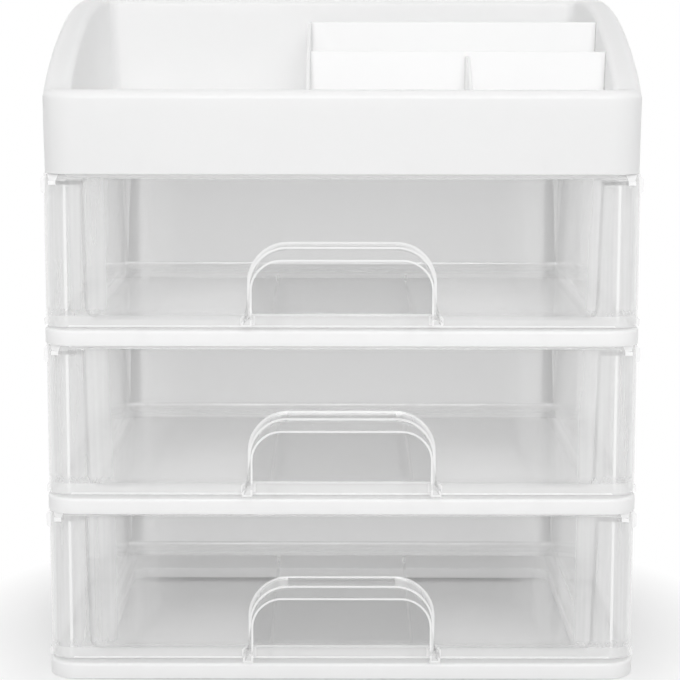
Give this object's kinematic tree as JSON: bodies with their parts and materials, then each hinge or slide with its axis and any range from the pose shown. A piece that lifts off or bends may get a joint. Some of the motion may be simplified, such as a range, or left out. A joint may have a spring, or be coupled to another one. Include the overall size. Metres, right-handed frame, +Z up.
{
  "type": "stackable drawer cabinet",
  "caption": "Stacking desktop drawer cabinet with clear pull-out drawers and an open divided organiser tray on top.",
  "frame": {"origin": "on the table, halfway across the width and halfway between the handles' front and the back", "axes": "+X to the right as the drawers are faced, +Y from the drawers' fronts to the back, +Z up"},
  "size_m": [0.2724, 0.2046, 0.311],
  "materials": {
    "white_plastic": "satin",
    "clear_plastic": "polished"
  },
  "bodies": {
    "cabinet": {"base": "white_plastic", "lower_shelf": "white_plastic", "upper_shelf": "white_plastic", "organiser_tray": "white_plastic", "left_wall_bottom": "white_plastic", "left_wall_middle": "white_plastic", "left_wall_top": "white_plastic", "right_wall_bottom": "white_plastic", "right_wall_middle": "white_plastic", "right_wall_top": "white_plastic", "back_panel_bottom": "white_plastic", "back_panel_middle": "white_plastic", "back_panel_top": "white_plastic"},
    "drawer_bottom_slide": {"drawer_bottom": "clear_plastic"},
    "drawer_middle_slide": {"drawer_middle": "clear_plastic"},
    "drawer_top_slide": {"drawer_top": "clear_plastic"}
  },
  "joints": [
    {"name": "bottom_drawer_slide", "type": "slide", "parent": "cabinet", "child": "drawer_bottom_slide", "axis": [0, -1, 0], "range_m": [0, 0.1486]},
    {"name": "middle_drawer_slide", "type": "slide", "parent": "cabinet", "child": "drawer_middle_slide", "axis": [0, -1, 0], "range_m": [0, 0.1486]},
    {"name": "top_drawer_slide", "type": "slide", "parent": "cabinet", "child": "drawer_top_slide", "axis": [0, -1, 0], "range_m": [0, 0.1486]}
  ]
}
